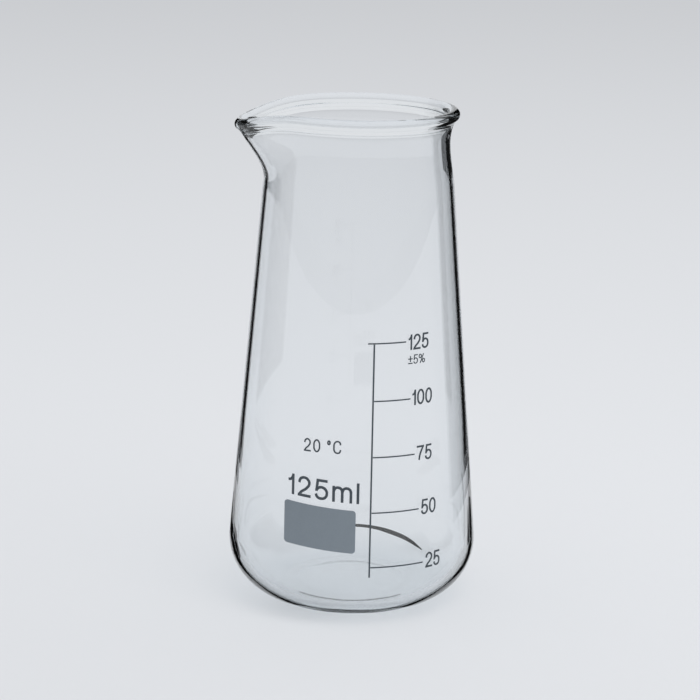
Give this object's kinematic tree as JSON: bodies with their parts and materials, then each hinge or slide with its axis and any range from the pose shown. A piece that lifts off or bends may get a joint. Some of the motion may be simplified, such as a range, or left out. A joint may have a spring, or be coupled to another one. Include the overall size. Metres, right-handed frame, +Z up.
{
  "type": "conical beaker",
  "caption": "Tall conical glass beaker with a pulled pouring spout, a thick fire-polished rim, a rounded heel and fired enamel graduations.",
  "frame": {"origin": "middle of the base, on the table plane under the foot ring", "axes": "+Z up along the axis of the glass, -X through the middle of the pouring spout, -Y towards the fired marks"},
  "size_m": [0.0576, 0.0576, 0.115],
  "materials": {
    "glass": "clear, fire polished",
    "enamel": "fired matt enamel"
  },
  "bodies": {
    "root": {"glass_body": "glass", "scale_line": "enamel", "tick_125": "enamel", "tick_100": "enamel", "tick_75": "enamel", "tick_50": "enamel", "tick_25": "enamel", "marking_panel": "enamel"}
  },
  "joints": []
}
